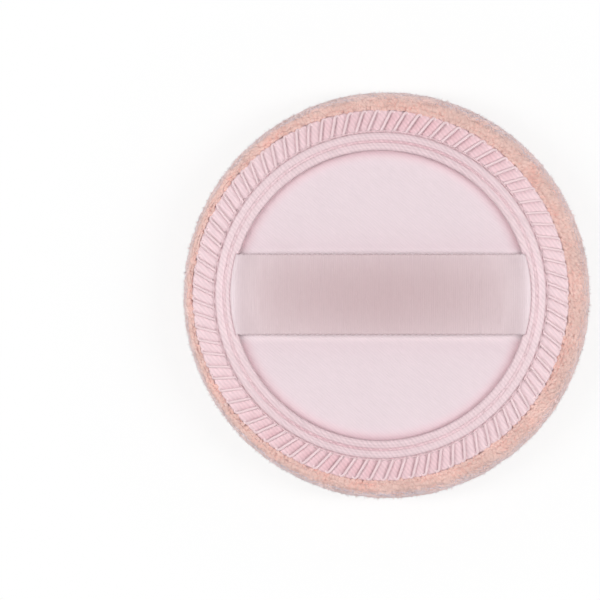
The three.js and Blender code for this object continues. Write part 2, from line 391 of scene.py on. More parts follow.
def weave_group(noise_scale=1.6, wander_share=0.9):
    """Slanting floats: a sine across the float's run, broken along it by stretched noise."""
    group, start, end = new_group(
        "Weave",
        [("Vector", "vector"), ("Angle", "float"), ("Pitch", "float"), ("Float Length", "float")],
        [("Height", "float")],
    )
    turned = node(group, "ShaderNodeVectorRotate", {"rotation_type": "Z_AXIS"},
                  Vector=start.outputs["Vector"], Angle=start.outputs["Angle"])
    apart = node(group, "ShaderNodeSeparateXYZ", Vector=turned.outputs[0])
    across = arithmetic(group, "DIVIDE", apart.outputs["X"], start.outputs["Pitch"])
    along = arithmetic(group, "DIVIDE", apart.outputs["Y"], start.outputs["Float Length"])
    place = node(group, "ShaderNodeCombineXYZ", X=across, Y=along).outputs[0]
    broken = node(group, "ShaderNodeTexNoise", Vector=place, Scale=noise_scale, Detail=2.0)
    wander = arithmetic(group, "MULTIPLY", broken.outputs["Fac"], wander_share)
    phase = arithmetic(group, "MULTIPLY", arithmetic(group, "ADD", across, wander), 2 * math.pi)
    wave = arithmetic(group, "SINE", phase)
    height = arithmetic(group, "MULTIPLY", wave, broken.outputs["Fac"])
    group.links.new(height, end.inputs["Height"])
    return group


def twist_group():
    """Plies of a yarn: a sine of the angle round it, moving on with the way along it."""
    group, start, end = new_group(
        "Twist",
        [("Along", "float"), ("Around", "float"), ("Plies", "float"), ("Turns", "float")],
        [("Height", "float")],
    )
    wound = arithmetic(group, "MULTIPLY", start.outputs["Along"], start.outputs["Turns"])
    counted = arithmetic(group, "MULTIPLY", start.outputs["Around"], start.outputs["Plies"])
    phase = arithmetic(group, "MULTIPLY", arithmetic(group, "ADD", wound, counted), 2 * math.pi)
    group.links.new(arithmetic(group, "SINE", phase), end.inputs["Height"])
    return group


mottle, weave, twist = mottle_group(), weave_group(), twist_group()
print("node groups", [group.name for group in (mottle, weave, twist)])


# %% Material helpers
def cloth_material(name, roughness, sheen, sheen_tint=(1, 1, 1, 1), specular=0.5):
    """A Principled material with even roughness and sheen on the shader's own sockets."""
    material = bpy.data.materials.new(name)
    material.use_nodes = True
    shader = material.node_tree.nodes["Principled BSDF"]
    shader.inputs["Roughness"].default_value = roughness
    shader.inputs["Sheen Weight"].default_value = sheen
    shader.inputs["Sheen Roughness"].default_value = 0.4
    shader.inputs["Sheen Tint"].default_value = sheen_tint
    shader.inputs["Specular IOR Level"].default_value = specular
    return material, material.node_tree, shader


def placed(tree, group, **inputs):
    """A node group put into a material."""
    made = node(tree, "ShaderNodeGroup", {"node_tree": group})
    for key, value in inputs.items():
        feed(tree, made.inputs[key.replace("_", " ")], value)
    return made


def object_place(tree):
    """The point's own place on the puff, in metres."""
    return node(tree, "ShaderNodeTexCoord").outputs["Object"]


def kept(tree, name):
    """A number that the mesh keeps for each point."""
    return node(tree, "ShaderNodeAttribute", {"attribute_name": name}).outputs["Fac"]


def blend_colours(tree, share, first, second):
    """First where share is 0, second where it is 1."""
    return node(tree, "ShaderNodeMix", {"data_type": "RGBA"}, i0=share, i6=first, i7=second).outputs[2]


def drifting(tree, colour, scale, amount):
    """The mottle group on a colour."""
    return placed(tree, mottle, Color=colour, Vector=object_place(tree), Scale=scale, Amount=amount)


def floats(tree, angle, pitch, length):
    """How high the weave's floats stand."""
    woven = placed(
        tree, weave, Vector=object_place(tree), Angle=angle, Pitch=pitch, Float_Length=length)
    return woven.outputs["Height"]


def colour_with_painted_relief(tree, shader, colour, scale, amount, height, gain):
    """Gives the shader a colour that drifts, with painted light where the threads rise and
    painted shade where they sink: drifting colour x (1 + gain x height)."""
    drift = drifting(tree, colour, scale, amount)
    light = arithmetic(tree, "MULTIPLY_ADD", height, gain, 1.0)
    feed(tree, shader.inputs["Base Color"], scaled_colour(tree, drift.outputs["Color"], light))


def raise_bump(tree, shader, height, depth):
    """Feeds a height, in units of depth metres, to the shader's normal."""
    made = node(tree, "ShaderNodeBump", Height=height, Distance=depth, Strength=1.0)
    feed(tree, shader.inputs["Normal"], made.outputs["Normal"])


# %% [markdown]
# ## Velour
#
# Velour is a knit whose loops are sheared to a short pile. Two things make it look soft:
# the tips of the yarns are paler than the shade between them, and its fibres catch light
# at a grazing angle. So the material reads how far a point is towards the tip, and paints
# shade at the roots, and how far the pile stands sideways, where it paints a paler, greyer
# sheen. The face is painted palest, as a face turned to the lamps looks. The colour drifts
# from tuft to tuft, and sheen lifts the slopes.

# %% Velour material
velour_tip = (0.87, 0.60, 0.54, 1)
# Painted shade between the tufts: the roots are darker and more saturated than the tips.
velour_root_shade = (0.86, 0.53, 0.46, 1)
# Painted sheen and light where the pile stands sideways: paler and greyer towards the outline.
velour_painted_sheen = (0.98, 0.785, 0.75, 1)
velour_warm = (0.92, 0.53, 0.46, 1)
# Painted light on the face: paler colours, as the face looks when turned to the lamps.
velour_lit_face_tip = (0.98, 0.725, 0.635, 1)
velour_lit_face_root_shade = (0.97, 0.67, 0.57, 1)
velour_material, tree, shader = cloth_material("velour", 0.95, 0.9, (0.88, 0.86, 1, 1), 0.2)
height_share = kept(tree, "tip")
base = blend_colours(tree, height_share, velour_root_shade, velour_tip)
patches = drifting(tree, base, 230.0, 0.0).outputs["Value"]
patch_share = node(tree, "ShaderNodeMapRange", Value=patches, **{"From Min": -0.05, "From Max": 0.35})
base = blend_colours(tree, patch_share.outputs[0], base, velour_warm)
# The face's painted light.
lit_face_base = blend_colours(tree, height_share, velour_lit_face_root_shade, velour_lit_face_tip)
base = blend_colours(tree, kept(tree, "face"), base, lit_face_base)
# Painted sheen on the pile's sides.
base = blend_colours(tree, kept(tree, "painted_sheen"), base, velour_painted_sheen)
drift = drifting(tree, base, 160.0, 0.10)
feed(tree, shader.inputs["Base Color"], scaled_colour(tree, drift.outputs["Color"], kept(tree, "tone")))
raise_bump(tree, shader, drift.outputs["Value"], 0.1 * mm)

# %% [markdown]
# ## The cover's ground
#
# The knit ground carries the pile. From the middle of the face it runs out flat, turns
# tightly up the side, rolls over at the top and dips down at the edge of the seam ring.
# There it is turned in under the back, and its inner side faces the foam. One closed
# profile describes all that, and only the ring's place, a little off centre, makes it
# differ from one direction to the next. Pressure in a cloth simulation then rounds it, as
# the foam does.

# %% The ground's profile
pile_show, side_show = 0.6 * mm, 0.32 * mm
side_inset = 0.42 * mm
crest_share = 0.3
crest_rise = 0.25 * mm
wall_gap = 0.05 * mm
lip_drop = 0.25 * mm
side_power = 2.4
ground_columns = 540


def edge_radius(angle):
    """From the puff's middle to the ring's outer edge: the far root of the ellipse
    ((r cos - ring_x) / k)^2 + (r sin)^2 = R^2, where k is the ring's oval."""
    square = (np.cos(angle) / ring_oval) ** 2 + np.sin(angle) ** 2
    single = np.cos(angle) * ring_x / ring_oval**2
    rest = (ring_x / ring_oval) ** 2 - tape_radius**2
    return (single + np.sqrt(single**2 - square * rest)) / square


def face_and_side(steps, inset, lift):
    """(r/R)^p + ((e - z)/(e + d))^2 = 1 from near the axis to the widest place, where R
    is the puff's radius less inset, e the height of the widest place, d the rest depth
    less lift and p the side's power."""
    turn = np.linspace(0, np.pi / 2, steps + 1)[1:]
    radius = (puff_radius - inset) * np.sin(turn) ** (2 / side_power)
    height = equator - (equator + rest_depth - lift) * np.cos(turn)
    return radius, height


def quarter_roll(steps, outer, crest, top):
    """A quarter of an ellipse from (outer, equator) to (crest, top), without its start."""
    turn = np.linspace(0, np.pi / 2, steps + 1)[1:, None]
    return crest + (outer - crest) * np.cos(turn), equator + (top - equator) * np.sin(turn)


def outer_profile(angle, face_steps, roll_steps, lip_steps):
    """Rows of radius and height, a column for each angle: face, side, roll, and a lip that
    drops by half a cosine from the crest to the wall beside the ring's edge."""
    columns = np.ones((1, len(angle)))
    face_radius, face_height = face_and_side(face_steps, side_inset, pile_show)
    edge = edge_radius(angle)[None, :]
    crest = edge + crest_share * (puff_radius - edge)
    top = tape_bottom + tape_cloth + crest_rise - side_show / 2
    roll_radius, roll_height = quarter_roll(roll_steps, puff_radius - side_inset, crest, top)
    wall = edge + wall_gap
    share = np.linspace(0, 1, lip_steps + 1)[1:, None]
    lip_radius = crest + (wall - crest) * share
    lip_height = top + (tape_bottom - lip_drop - top) * (1 - np.cos(np.pi * share)) / 2
    radius = np.concatenate([face_radius[:, None] * columns, roll_radius, lip_radius])
    height = np.concatenate([
        face_height[:, None] * columns, roll_height * columns, lip_height * columns
    ])
    return radius, height


def points_of(radius, height, angle):
    """Points in space from rows of radius and height, each one value or one for each angle."""
    return np.stack(np.broadcast_arrays(radius * np.cos(angle), radius * np.sin(angle), height), -1)


def ring_points(radius, height, angle):
    """The same round the ring's middle, stretched along X by the ring's oval."""
    points = points_of(radius, height, angle)
    points[..., 0] = ring_x + ring_oval * points[..., 0]
    return points


# %% [markdown]
# Blender's cloth solver is made for things of about a metre. The puff is small, so it is
# simulated ten times as large and scaled back. The wall beside the ring is pinned where
# the seam holds it, air pressure fills the rest, and a cap keeps every point near its
# start. Only the way that each point moved is kept, less what would pull the widest
# place off its solid, and laid over the fine grid. The table then holds the face up, so
# no point of the ground sinks below its flat middle.

# %% Round the ground by simulation
sim_scale = 10.0
sim_pressure = 4.0
sim_frames = 20
sim_columns, sim_face, sim_roll, sim_lip = 108, 26, 9, 4
sim_cap = 0.45 * mm


def simulated_shift():
    """How far pressure moves each point of a coarse ground, as rows x columns x 3."""
    angle = np.linspace(0, 2 * np.pi, sim_columns, endpoint=False)
    radius, height = outer_profile(angle, sim_face, sim_roll, sim_lip)
    grid = points_of(radius, height, angle)
    count = len(grid) * sim_columns
    poles = np.array([[0, 0, pile_show - rest_depth], [ring_x, 0, grid[-1, 0, 2]]])
    pad = closed_surface("pressed_ground", grid * sim_scale, poles * sim_scale)
    pins = pad.vertex_groups.new(name="seam")
    pins.add([*range(count - 2 * sim_columns, count), count + 1], 1.0, "REPLACE")
    cloth = pad.modifiers.new("cloth", "CLOTH")
    cloth.settings.vertex_group_mass = "seam"
    cloth.settings.use_pressure = True
    cloth.settings.uniform_pressure_force = sim_pressure
    cloth.settings.effector_weights.gravity = 0
    cloth.point_cache.frame_start = 1
    cloth.point_cache.frame_end = sim_frames
    for moment in range(1, sim_frames + 1):
        bpy.context.scene.frame_set(moment)
    solved = pad.evaluated_get(bpy.context.evaluated_depsgraph_get())
    moved = places_of(solved.data)[:count] / sim_scale
    bpy.context.scene.frame_set(1)
    bpy.data.objects.remove(pad)
    shift = moved.reshape(grid.shape) - grid
    size = np.linalg.norm(shift, axis=-1, keepdims=True)
    shift *= np.minimum(1, sim_cap / np.maximum(size, 1e-12))
    share = np.concatenate([
        radius[:sim_face, 0] / radius[sim_face - 1, 0],
        np.ones(sim_roll),
        np.linspace(1, 0, sim_lip),
    ])
    shift[..., :2] -= share[:, None, None] * shift[sim_face - 1, :, :2]
    return shift


def resampled(values, rows, columns):
    """A coarse grid of values read at rows x columns places, linear between its points."""
    row = np.linspace(0, len(values) - 1, rows)
    column = np.arange(columns) * values.shape[1] / columns
    low_row = np.minimum(row.astype(int), len(values) - 2)
    low_column = column.astype(int)
    row_share = (row - low_row)[:, None, None]
    column_share = (column - low_column)[None, :, None]
    next_column = (low_column + 1) % values.shape[1]
    here = values[:, low_column] * (1 - column_share) + values[:, next_column] * column_share
    return here[low_row] * (1 - row_share) + here[low_row + 1] * row_share


ground_face, ground_roll, ground_lip = sim_face * 6, sim_roll * 6, sim_lip * 6
around = np.linspace(0, 2 * np.pi, ground_columns, endpoint=False)
ground_radius, ground_height = outer_profile(around, ground_face, ground_roll, ground_lip)
ground = points_of(ground_radius, ground_height, around)
shift = simulated_shift()
print(f"pressure moved the ground by up to {np.abs(shift).max() / mm:.2f} mm")
ground = ground + resampled(shift, len(ground), ground_columns)
ground[..., 2] = np.maximum(ground[..., 2], pile_show - rest_depth)

# %% [markdown]
# ## Where the tufts grow
#
# The knit was cut flat and drawn over the pad, so its wales stay straight on the face and
# crowd together at the rim. The tufts follow that: they start as a flat lattice, a point's
# distance from its middle is measured along the ground, and its direction stays. Random
# numbers come from one seeded source, so that each run plants the same pile.

# %% Plant lattice
wale_pitch = 1.25 * mm
tuft_pitch = 0.62 * mm
pairing_share = 0.09
stray_share, ruffled_stray_share = 0.09, 0.12
rows_fade, rows_fade_width = 34 * mm, 8 * mm
wale_angle = math.radians(72)
random = np.random.default_rng(11)


def unit(vectors):
    """The same directions, each one long."""
    return vectors / np.linalg.norm(vectors, axis=-1, keepdims=True)


steps = np.linalg.norm(np.diff(ground, axis=0), axis=-1)
start_step = np.hypot(ground[0, :, 0], ground[0, :, 1])[None, :]
run = np.concatenate([start_step, start_step + np.cumsum(steps, axis=0)])
along_row = np.roll(ground, -1, axis=1) - np.roll(ground, 1, axis=1)
along_column = np.gradient(ground, axis=0)
outward = unit(np.cross(along_row, along_column))

lattice_reach = float(run[-1].max())
count = int(2 * lattice_reach / tuft_pitch) + 2
column_number, tuft_number = np.meshgrid(np.arange(count), np.arange(count), indexing="ij")
in_wale = tuft_pitch * (column_number - count / 2)
up_wale = tuft_pitch * (tuft_number - count / 2 + 0.5 * (column_number % 2))
ruffled = np.clip((np.hypot(in_wale, up_wale) - rows_fade) / rows_fade_width, 0, 1)
pairing = pairing_share * (wale_pitch - tuft_pitch) * (-1.0) ** column_number
in_wale += pairing * (1 - ruffled)
stray = random.normal(0, tuft_pitch, (2,) + in_wale.shape)
stray *= stray_share + ruffled_stray_share * ruffled


def rotated(x, y, angle):
    """A flat place turned anticlockwise about the middle."""
    cosine, sine = np.cos(angle), np.sin(angle)
    return x * cosine - y * sine, x * sine + y * cosine


flat_x, flat_y = (in_wale + stray[0]).ravel(), (up_wale + stray[1]).ravel()
flat_x, flat_y = rotated(flat_x, flat_y, wale_angle - math.pi / 2)
flat_reach = np.hypot(flat_x, flat_y)
flat_angle = np.arctan2(flat_y, flat_x) % (2 * np.pi)
column_place = flat_angle / (2 * np.pi) * ground_columns
column_index = np.round(column_place).astype(int) % ground_columns
inside = flat_reach < run[-1, column_index]
flat_reach, column_index, column_place = flat_reach[inside], column_index[inside], column_place[inside]
row_index = (run[:, column_index] < flat_reach[None, :]).sum(axis=0)
row_index = np.clip(row_index, 1, len(ground) - 1)
before_run, after_run = run[row_index - 1, column_index], run[row_index, column_index]
row_share = np.minimum((flat_reach - before_run) / (after_run - before_run), 1)[:, None]


def on_ground(values):
    """A ground grid's values at each tuft: linear along its column, turned to its angle.
    Inside the first row the same line runs on to the middle."""
    found = values[row_index - 1, column_index] * (1 - row_share)
    found = found + values[row_index, column_index] * row_share
    turn = (column_place - np.round(column_place)) * 2 * np.pi / ground_columns
    return np.stack([*rotated(found[:, 0], found[:, 1], turn), found[:, 2]], -1)


tuft_root = on_ground(ground)
tuft_normal = unit(on_ground(outward))
print(f"{len(tuft_root)} tufts")

# %% [markdown]
# ## Tufts
#
# A tuft is a bundle of cut fibres that stands on one stitch of the knit. From a little
# way off its fibres merge into a soft round head, so here each tuft is a low dome with
# two dozen faces, and only a few of its fibres stand out of it: very slim pyramids of
# four triangles. Both lean with the nap. A slow wave over the surface turns the nap and
# shades the tone, as if a hand had stroked it. On the table the tips are pressed flat.

# %% Which way the pile lies
tuft_half = 0.5 * mm
fibre_width = 0.035 * mm
fibre_sink = 0.12 * mm
tuft_spread = 0.3 * mm
nap_lean = 0.22 * mm
nap_length = 17 * mm

meridian = unit(on_ground(along_column))
sideways = np.cross(tuft_normal, meridian)
crowding = (np.hypot(tuft_root[:, 0], tuft_root[:, 1]) / flat_reach)[:, None]
wale_turn = (wale_angle - column_place * 2 * np.pi / ground_columns)[:, None]
up_the_wale = meridian * np.cos(wale_turn) - sideways * np.sin(wale_turn) * crowding
over_the_wale = np.cross(tuft_normal, up_the_wale)
over_the_wale *= np.minimum(crowding, 1)


def slow_wave(points, length, seed, waves=5, level=2.2):
    """A smooth pattern of about 1 either way: the sum of a few sines of that wavelength."""
    source = np.random.default_rng(seed)
    ways = unit(source.normal(0, 1, (waves, 3)))
    phases = source.uniform(0, 2 * np.pi, waves)
    return np.sin(points @ ways.T * 2 * np.pi / length + phases).sum(axis=1) / level


def nap_of(roots, first, second):
    """The way the nap lies at each root, between two directions across it."""
    swirl = np.pi * slow_wave(roots, nap_length, 3)[:, None]
    return first * np.cos(swirl) + second * np.sin(swirl)


# %% Grow the pile
press_start = 0.2 * mm
face_levels = (3 * mm, 6.5 * mm)
painted_sheen_share, painted_sheen_width = 0.75, 0.5
tone_length, tone_drift, tone_grain = 9 * mm, 0.03, 0.02

swell_range, ruffled_swell = (0.92, 1.08), 0.35
oval_share, shoulder_share = 1.15, 0.86
uneven_range, ruffled_uneven = (-0.08, 0.06), 2.5
shoulder_rise, shoulder_lean = 0.62, 0.4

fibre_lengths, fibre_widths, fibre_bends = (0.8, 1.08), (0.8, 1.2), (0.5, 1.4)
fibre_splay, fibre_stray = 0.5, 0.35
shoulder_tip, fibre_foot_tip = 0.75, 0.6


def pressed(points):
    """The table squeezes what would lie lower than s above it: z becomes s exp(z/s - 1),
    so every point stays above the table, and above those that were below it."""
    height = points[..., 2]
    squeezed = press_start * np.exp(np.minimum(height / press_start, 1) - 1)
    points[..., 2] = np.where(height < press_start, squeezed, height)
    return points


def painted_sheen_of(normals):
    """The share of painted sheen where the pile stands sideways: most where its normal is level, less
    by a bell.
    """
    return painted_sheen_share * np.exp(-((normals[..., 2] / painted_sheen_width) ** 2))


def face_of(points):
    """How much a point belongs to the face: 1 below the first level, 0 above the second."""
    low, high = face_levels
    return np.clip((high - points[..., 2]) / (high - low), 0, 1)


def store_pile(piece, roots, normals, repeats):
    """One tone, one painted-sheen share and one face share for each tuft or fibre, on all its points.
    """
    tone = 1 + tone_drift * slow_wave(roots, tone_length, 5)
    tone += random.normal(0, tone_grain, len(roots))
    for name, values in (("tone", tone), ("painted_sheen", painted_sheen_of(normals)), ("face", face_of(roots))):
        store(piece, name, np.repeat(values, repeats))


def tuft_heads(name, chosen, height, sides=6):
    """A dome on each chosen root: foot ring, shoulder ring, and a tip that leans with the
    nap. Its rings are ovals along the wale."""
    roots, normals = tuft_root[chosen], tuft_normal[chosen]
    total = len(roots)
    turn = np.arange(sides) * 2 * np.pi / sides + random.uniform(0, 1, (total, 1))
    long_side = up_the_wale[chosen][:, None, :] * np.cos(turn)[..., None]
    short_side = over_the_wale[chosen][:, None, :] * np.sin(turn)[..., None]
    ruffled = past_face[chosen][:, None, None]
    swell = random.uniform(*swell_range, (total, sides, 1)) * tuft_half * (1 + ruffled_swell * ruffled)
    ring = (long_side * oval_share - short_side) * swell
    upper = ring * (shoulder_share + (1 - shoulder_share) * ruffled)
    nap = nap_of(roots, up_the_wale[chosen], over_the_wale[chosen]) * nap_lean
    uneven = random.uniform(*uneven_range, total) * (1 + ruffled_uneven * past_face[chosen])
    tall = (height * (1 + uneven))[:, None]
    foot = (roots - normals * fibre_sink)[:, None, :] + ring
    shoulder = (roots + normals * tall * shoulder_rise + nap * shoulder_lean)[:, None, :] + upper
    tip = roots + normals * tall + nap
    points = pressed(np.concatenate([foot, shoulder, tip[:, None, :]], axis=1))
    here = np.arange(sides)
    after = (here + 1) % sides
    walls = np.stack([here, after, after + sides, here + sides], -1)[None]
    caps = np.concatenate([
        np.stack([here + sides, after + sides, np.full(sides, 2 * sides)], -1),
        np.stack([np.zeros(sides - 2, int), here[2:], here[1:-1]], -1),
    ])[None]
    offset = (2 * sides + 1) * np.arange(total)[:, None, None]
    piece = mesh_of(name, points.reshape(-1, 3), walls + offset, caps + offset)
    store(piece, "tip", np.tile([0.0] * sides + [shoulder_tip] * sides + [1.0], (total, 1)))
    store_pile(piece, roots, normals, 2 * sides + 1)
    return piece


def fibres(name, roots, normals, each, height, width, spread, lean):
    """Plants `each` fibres at every root. Three points round the foot, one at the tip:
    tip = foot + height along the normal + splay away from the tuft's middle + nap."""
    normals = np.repeat(normals, each, axis=0)
    tall = np.repeat(np.broadcast_to(height, len(roots)), each)[:, None]
    roots = np.repeat(roots, each, axis=0)
    total = len(roots)
    helper = np.where(np.abs(normals[:, 2:]) < 0.9, [[0.0, 0, 1]], [[1.0, 0, 0]])
    side = unit(np.cross(normals, helper))
    other = np.cross(normals, side)
    fan = random.uniform(0, 2 * np.pi, total)
    away = side * np.cos(fan)[:, None] + other * np.sin(fan)[:, None]
    nap = nap_of(roots, side, other)
    far = spread * np.sqrt(random.uniform(0, 1, total))[:, None]
    tall = tall * random.uniform(*fibre_lengths, total)[:, None]
    wide = width * random.uniform(*fibre_widths, total)[:, None, None]
    foot = roots + away * far - normals * fibre_sink
    tip = foot + normals * (tall + fibre_sink) + away * far * fibre_splay
    tip = tip + nap * lean * random.uniform(*fibre_bends, total)[:, None]
    tip = tip + random.normal(0, fibre_stray * lean, (total, 3))
    corners = (fan[:, None] + np.arange(3)[None, :] * 2 * np.pi / 3)[..., None]
    ring = side[:, None, :] * np.cos(corners) + other[:, None, :] * np.sin(corners)
    points = pressed(np.concatenate([foot[:, None, :] + ring * wide, tip[:, None, :]], axis=1))
    faces = np.array([[0, 1, 3], [1, 2, 3], [2, 0, 3], [0, 2, 1]])[None]
    faces = faces + 4 * np.arange(total)[:, None, None]
    piece = mesh_of(name, points.reshape(-1, 3), [], faces)
    store(piece, "tip", np.tile([fibre_foot_tip] * 3 + [1.0], (total, 1)))
    store_pile(piece, roots, normals, 4)
    return piece


clump_height, clump_length = 0.08 * mm, 4 * mm
fibre_excess = 1.08
past_face = np.clip((flat_reach - rows_fade) / rows_fade_width, 0, 1)
tuft_height = pile_show + (side_show - pile_show) * past_face
tuft_height += clump_height * past_face * slow_wave(tuft_root, clump_length, 7)
zones = [
    ("face_middle", 0, 29 * mm, 4),
    ("face_edge", 29 * mm, 37.5 * mm, 4),
    ("side", 37.5 * mm, 44.5 * mm, 5),
    ("rim", 44.5 * mm, math.inf, 5),
]
for zone, begin, stop, each in zones:
    chosen = np.flatnonzero((flat_reach >= begin) & (flat_reach < stop))
    heads = tuft_heads("pile_" + zone, chosen, tuft_height[chosen])
    dress(heads, velour_material)
    lean = nap_lean * (2 - past_face[chosen].mean())
    loose = fibres(
        "fibres_" + zone, tuft_root[chosen], tuft_normal[chosen], each,
        tuft_height[chosen] * fibre_excess, fibre_width, tuft_spread, lean,
    )
    dress(loose, velour_material)

# %% [markdown]
# ## Fuzz
#
# A few fibres stand out of any pile. They are hardly seen one by one, but they take the
# hardness off the outline. They grow as above, longer and thinner, in small wisps of
# four, and only on the side and the rim.

# %% Stray fibres
fuzz_count = 6000
fuzz_height = 0.7 * mm
fuzz_width = 0.026 * mm
fuzz_spread, fuzz_tilt = 0.12 * mm, 0.25
fuzz_begin = 38 * mm
chosen = random.choice(np.flatnonzero(flat_reach > fuzz_begin), fuzz_count)
fuzz_normal = unit(tuft_normal[chosen] + random.normal(0, fuzz_tilt, (fuzz_count, 3)))
fuzz_root = tuft_root[chosen] + random.normal(0, fuzz_spread, (fuzz_count, 3))
fuzz = fibres(
    "pile_fuzz", fuzz_root, fuzz_normal, 4, fuzz_height, fuzz_width, fuzz_spread, nap_lean)
dress(fuzz, velour_material)

# %% [markdown]
# The ground itself is the cover's closed shell. Its outer face is pressed into a small
# dimple between the tufts, so that the gaps look deep, and its inner face lies a cloth's
# thickness further in.

# %% The knit ground as a closed shell
inner_turn = 4 * mm
inside_clearance = 0.02 * mm
dimple_depth = 0.12 * mm
table_clearance = 0.1 * mm
# The ground takes mostly the roots' painted shade.
ground_tip = 0.2


def cover_shell():
    """Outer grid, down the wall beside the ring, in along the seat, and back inside."""
    wall = edge_radius(around) + wall_gap
    even = np.ones_like(wall)
    inside_top = seat_floor - knit_cloth
    inset = (puff_radius - half_width("foam_pad")) - foam_gap
    roll_radius, roll_height = quarter_roll(
        10, puff_radius - inset, puff_radius - inner_turn, inside_top - inside_clearance)
    face_radius, face_height = face_and_side(40, inset, inset)
    radius = np.concatenate([
        [wall, margin_inner * even, margin_inner * even],
        roll_radius[::-1] * even,
        face_radius[::-1, None] * even,
    ])
    height = np.concatenate([
        np.outer([seat_floor, seat_floor, inside_top], even),
        roll_height[::-1] * even,
        face_height[::-1, None] * even,
    ])
    inner = points_of(radius, height, around)
    outer = ground + outward * dimple_depth * np.sin(run[:, :, None] * 2 * np.pi / tuft_pitch)
    outer[..., 2] = np.maximum(outer[..., 2], table_clearance)
    grid = np.concatenate([outer, inner])
    poles = np.array([[0, 0, outer[0, 0, 2]], [0, 0, inner[-1, 0, 2]]])
    shell = closed_surface("velour_cover_cloth", grid, poles)
    unseen = np.zeros(inner.shape[:2])
    for name, outside, inside, at_poles in (
        ("tip", np.full(outer.shape[:2], ground_tip), unseen, [ground_tip, 0]),
        ("tone", np.ones(outer.shape[:2]), unseen + 1, [1, 1]),
        ("painted_sheen", painted_sheen_of(outward), unseen, [0, 0]),
        ("face", face_of(outer), face_of(inner), [1, 1]),
    ):
        store(shell, name, np.concatenate([outside.ravel(), inside.ravel(), at_poles]))
    return shell


cover = dress(cover_shell(), velour_material, stands_for=["velour_cover"])

# %% [markdown]
# ## Foam and interlining
#
# Both are hidden once the puff is sewn, but they give it its body. The foam is a closed
# crowned form with a step at its top, where the turned-in margin presses it thinner. The
# interlining is a stiff disc, hardly thicker than paper, that keeps the back flat. Foam
# shows small open cells, painted darker inside as shade, and the interlining shows
# fibres that lie every way.

# %% Foam material and pad
# The darker colour in each cell is painted shade in the pores.
foam_colour, foam_pore_shade_colour = (0.922, 0.863, 0.776, 1), (0.75, 0.68, 0.58, 1)
foam_material, tree, shader = cloth_material("foam", 0.9, 0.1)
cells = node(tree, "ShaderNodeTexVoronoi", {"feature": "F1"}, Vector=object_place(tree), Scale=1600.0)
drift = drifting(tree, foam_colour, 90.0, 0.12)
shade = node(tree, "ShaderNodeMapRange", Value=cells.outputs["Distance"], **{"From Max": 0.6})
shaded = blend_colours(tree, shade.outputs[0], foam_pore_shade_colour, drift.outputs["Color"])
feed(tree, shader.inputs["Base Color"], shaded)
raise_bump(tree, shader, cells.outputs["Distance"], 0.3 * mm)

foam_softness, foam_bevel = 0.5 * mm, 0.1 * mm
foam_wave = 0.05 * mm
foam_top_shares = (0.66, 0.33)


def foam_core():
    """Face, side and roll as the cover's, further in, then the step and the flat top."""
    inset = puff_radius - half_width("foam_pad")
    angle = np.linspace(0, 2 * np.pi, 180, endpoint=False)
    face_radius, face_height = face_and_side(36, inset, inset)
    shoulder_top = seat_floor - knit_cloth - foam_gap
    roll_radius, roll_height = quarter_roll(
        8, puff_radius - inset, puff_radius - inner_turn, shoulder_top)
    step = margin_inner - foam_gap
    top_radius = [step + foam_softness, step, step - foam_bevel, step - foam_softness]
    top_radius += [step * share for share in foam_top_shares]
    top_height = [shoulder_top, shoulder_top + foam_softness, foam_top - foam_softness / 2]
    top_height += [foam_top] * 3
    radius = np.concatenate([face_radius, roll_radius[:, 0], top_radius])[:, None]
    height = np.concatenate([face_height, roll_height[:, 0], top_height])[:, None]
    wave = foam_wave * np.sin(angle * 23) * np.sin(angle * 9 + 1)
    grid = points_of(radius + wave * (radius > step), height, angle)
    poles = np.array([[0, 0, inset - rest_depth], [0, 0, foam_top]])
    return closed_surface("foam_core", grid, poles)


foam = dress(foam_core(), foam_material, stands_for=["foam_pad"])


# %% Discs of cloth
def cloth_disc(name, radius, bottom, top, relief, rings=60, columns=360):
    """A thin closed disc round ring_x: its underside from the middle out, its edge, and
    its top back in. relief(x, y) raises both sides alike."""
    angle = np.linspace(0, 2 * np.pi, columns, endpoint=False)
    share = np.linspace(0, 1, rings + 1)[1:]
    bevel = (top - bottom) / 2
    out = (radius - bevel) * share
    rows = np.concatenate([out, [radius], out[::-1]])
    height = np.concatenate([np.full(rings, bottom), [(bottom + top) / 2], np.full(rings, top)])
    grid = points_of(rows[:, None], height[:, None], angle)
    grid[..., 0] += ring_x
    grid[..., 2] += relief(grid[..., 0] - ring_x, grid[..., 1])
    middle = float(relief(np.zeros(1), np.zeros(1))[0])
    return closed_surface(name, grid, [[ring_x, 0, bottom + middle], [ring_x, 0, top + middle]])


lining_material, tree, shader = cloth_material("interlining", 0.9, 0.1)
drift = drifting(tree, (0.896, 0.88, 0.855, 1), 300.0, 0.12)
feed(tree, shader.inputs["Base Color"], drift.outputs["Color"])
raise_bump(tree, shader, floats(tree, 0.4, 0.35 * mm, 2.5 * mm), 0.06 * mm)


def lining_relief(x, y, depth=0.02 * mm):
    """The slight unevenness of a pressed sheet."""
    return depth * np.sin(x / (3 * mm)) * np.sin(y / (4 * mm))


lining = cloth_disc("interlining_sheet", satin_radius, lining_bottom, lining_top, lining_relief)
dress(lining, lining_material, stands_for=["interlining_disc"])

# %% [markdown]
# ## Satin
#
# Satin shines because its threads float over many others before they dive. On the back
# disc the floats run in fine slanting lines. The seam draws the disc in a little, so it
# swells softly in the middle and puckers near the ring: a slow swell and a fan of shallow
# folds that fades inwards. Near the ring the satin is painted pinker, a painted reflection
# of the ring, and along the ring, most at the front and the back, a painted shadow of the
# ridge darkens it. Below the sides of the ribbon, painted light makes it paler.

